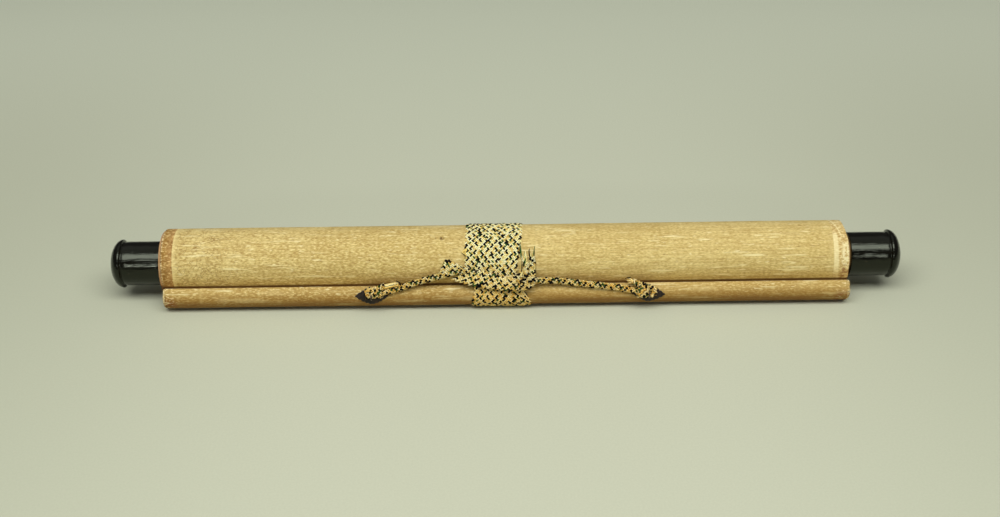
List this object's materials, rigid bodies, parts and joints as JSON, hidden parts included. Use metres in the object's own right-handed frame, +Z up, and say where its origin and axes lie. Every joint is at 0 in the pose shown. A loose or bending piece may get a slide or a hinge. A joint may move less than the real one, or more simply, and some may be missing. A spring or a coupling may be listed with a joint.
{
  "type": "rolled hanging scroll",
  "caption": "Hanging scroll wound on a roller with black turned knobs, a half-round stave along its front, a flat cord between two eyes, and a braided tie ribbon wound round it and knotted.",
  "frame": {"origin": "middle of the bounding box of everything but the hanging cord, at the plane the scroll rests on", "axes": "+X along the roll, to the right as seen from the front; +Y to the back, away from the stave; +Z up"},
  "size_m": [0.502, 0.0541, 0.0447],
  "materials": {
    "mounting_silk": "thin mounting silk and paper, honey coloured, matt, with fine lengthwise streaks and worn edges",
    "roller_wood": "plain turned softwood",
    "stave_wood": "plain planed softwood",
    "black_lacquer": "black lacquer on turned wood, worn to a soft gloss",
    "dark_bronze": "dark brown patina, dull",
    "eye_metal": "aged wire, dull",
    "cord_braid": "flat silk braid, cream and ochre with black and green strands",
    "ribbon_braid": "flat silk braid, cream and ochre with black and green strands"
  },
  "bodies": {
    "root": {"mount_sheet": "mounting_silk", "roller_rod": "roller_wood", "knob_left": "black_lacquer", "knob_right": "black_lacquer", "stave": "stave_wood", "washer_left": "dark_bronze", "washer_right": "dark_bronze", "eye_left": "eye_metal", "eye_right": "eye_metal", "hanging_cord": "cord_braid", "tie_ribbon": "ribbon_braid"}
  },
  "joints": []
}
